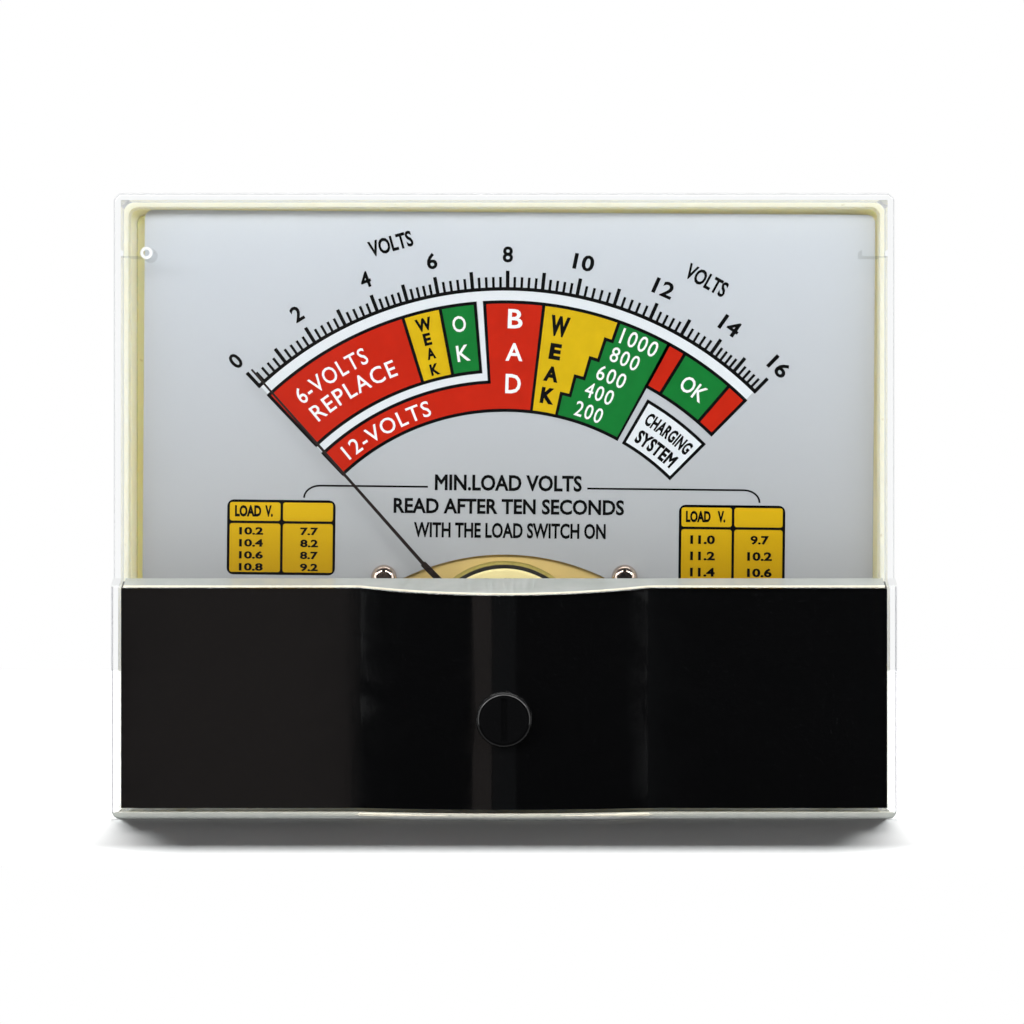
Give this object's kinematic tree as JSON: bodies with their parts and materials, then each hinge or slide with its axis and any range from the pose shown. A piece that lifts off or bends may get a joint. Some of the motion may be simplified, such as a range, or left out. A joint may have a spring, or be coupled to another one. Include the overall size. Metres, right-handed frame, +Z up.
{
  "type": "analogue battery tester voltmeter",
  "caption": "Moving-coil voltmeter head with a battery-condition dial behind a clear cover, with a zero adjuster, made to be fixed in a panel.",
  "frame": {"origin": "middle of the bezel on the plane where the meter seats on the front of its panel, at the centre of the four mounting studs", "axes": "+X to the dial's right, +Z up the dial, +Y back through the panel; the dial looks along -Y"},
  "size_m": [0.0996, 0.065, 0.0796],
  "materials": {
    "clear_acrylic": "clear moulded acrylic, polished",
    "black_gloss": "glossy black moulded plastic",
    "cream_plastic": "cream moulded plastic, satin",
    "dial_print": "light blue-grey printed aluminium, satin",
    "nickel": "nickel-plated steel, polished",
    "steel": "plain turned steel",
    "soft_iron": "blackened soft iron",
    "magnet": "cast magnet alloy, ground",
    "zinc": "die-cast, plain",
    "brass": "turned brass",
    "ruby": "synthetic jewel",
    "spring_bronze": "phosphor bronze strip",
    "aluminium": "bare aluminium strip",
    "copper": "enamelled copper wire",
    "pointer_black": "black lacquered aluminium",
    "rubber": "black rubber",
    "resistor_body": "tan lacquer coat",
    "tinned_wire": "tinned wire",
    "red_insulation": "red PVC",
    "black_insulation": "black PVC"
  },
  "bodies": {
    "case": {"front_cover": "clear_acrylic", "lower_mask": "black_gloss", "base": "cream_plastic", "mounting_studs": "steel", "dial_plate": "dial_print", "dial_screws": "nickel", "movement_frame": "cream_plastic", "frame_screws": "steel", "yoke_ring": "soft_iron", "core_magnet": "magnet", "core_carrier": "zinc", "front_bridge": "cream_plastic", "bridge_screws": "steel", "front_jewel_screw": "brass", "rear_jewel_screw": "brass", "jewels": "ruby", "jewel_nuts": "brass", "stop_pins": "steel", "stop_sleeves": "rubber", "front_hairspring": "spring_bronze", "rear_hairspring": "spring_bronze", "terminal_studs": "brass", "terminal_washers": "brass", "terminal_nuts": "brass", "terminal_lugs": "tinned_wire", "front_lug": "tinned_wire", "rear_spring_lug": "brass", "series_resistor": "resistor_body", "resistor_leads": "tinned_wire", "positive_lead": "red_insulation", "negative_lead": "black_insulation"},
    "adjuster": {"zero_adjuster": "black_gloss", "adjuster_clip": "steel"},
    "lever": {"zero_lever": "brass"},
    "moving_coil": {"pointer": "pointer_black", "balance_weights": "brass", "coil_former": "aluminium", "coil_winding": "copper", "front_staff": "steel", "rear_staff": "steel"}
  },
  "joints": [
    {"name": "zero_adjuster_turn", "type": "hinge", "parent": "case", "child": "adjuster", "pos_m": [0, 0, -0.027], "axis": [0, 1, 0], "range_deg": [-45, 45]},
    {"name": "zero_lever_turn", "type": "hinge", "parent": "case", "child": "lever", "pos_m": [0, 0, -0.01825], "axis": [0, 1, 0], "range_deg": [-5.5, 5.5]},
    {"name": "pointer_swing", "type": "hinge", "parent": "lever", "child": "moving_coil", "pos_m": [0, 0, -0.01825], "axis": [0, 1, 0], "range_deg": [-2, 92], "stiffness_Nm_per_rad": 0.000012, "deforming": ["front_hairspring", "rear_hairspring"]}
  ],
  "couplings": [
    {"joint": "zero_lever_turn", "follows": "zero_adjuster_turn", "ratio": 0.116}
  ]
}
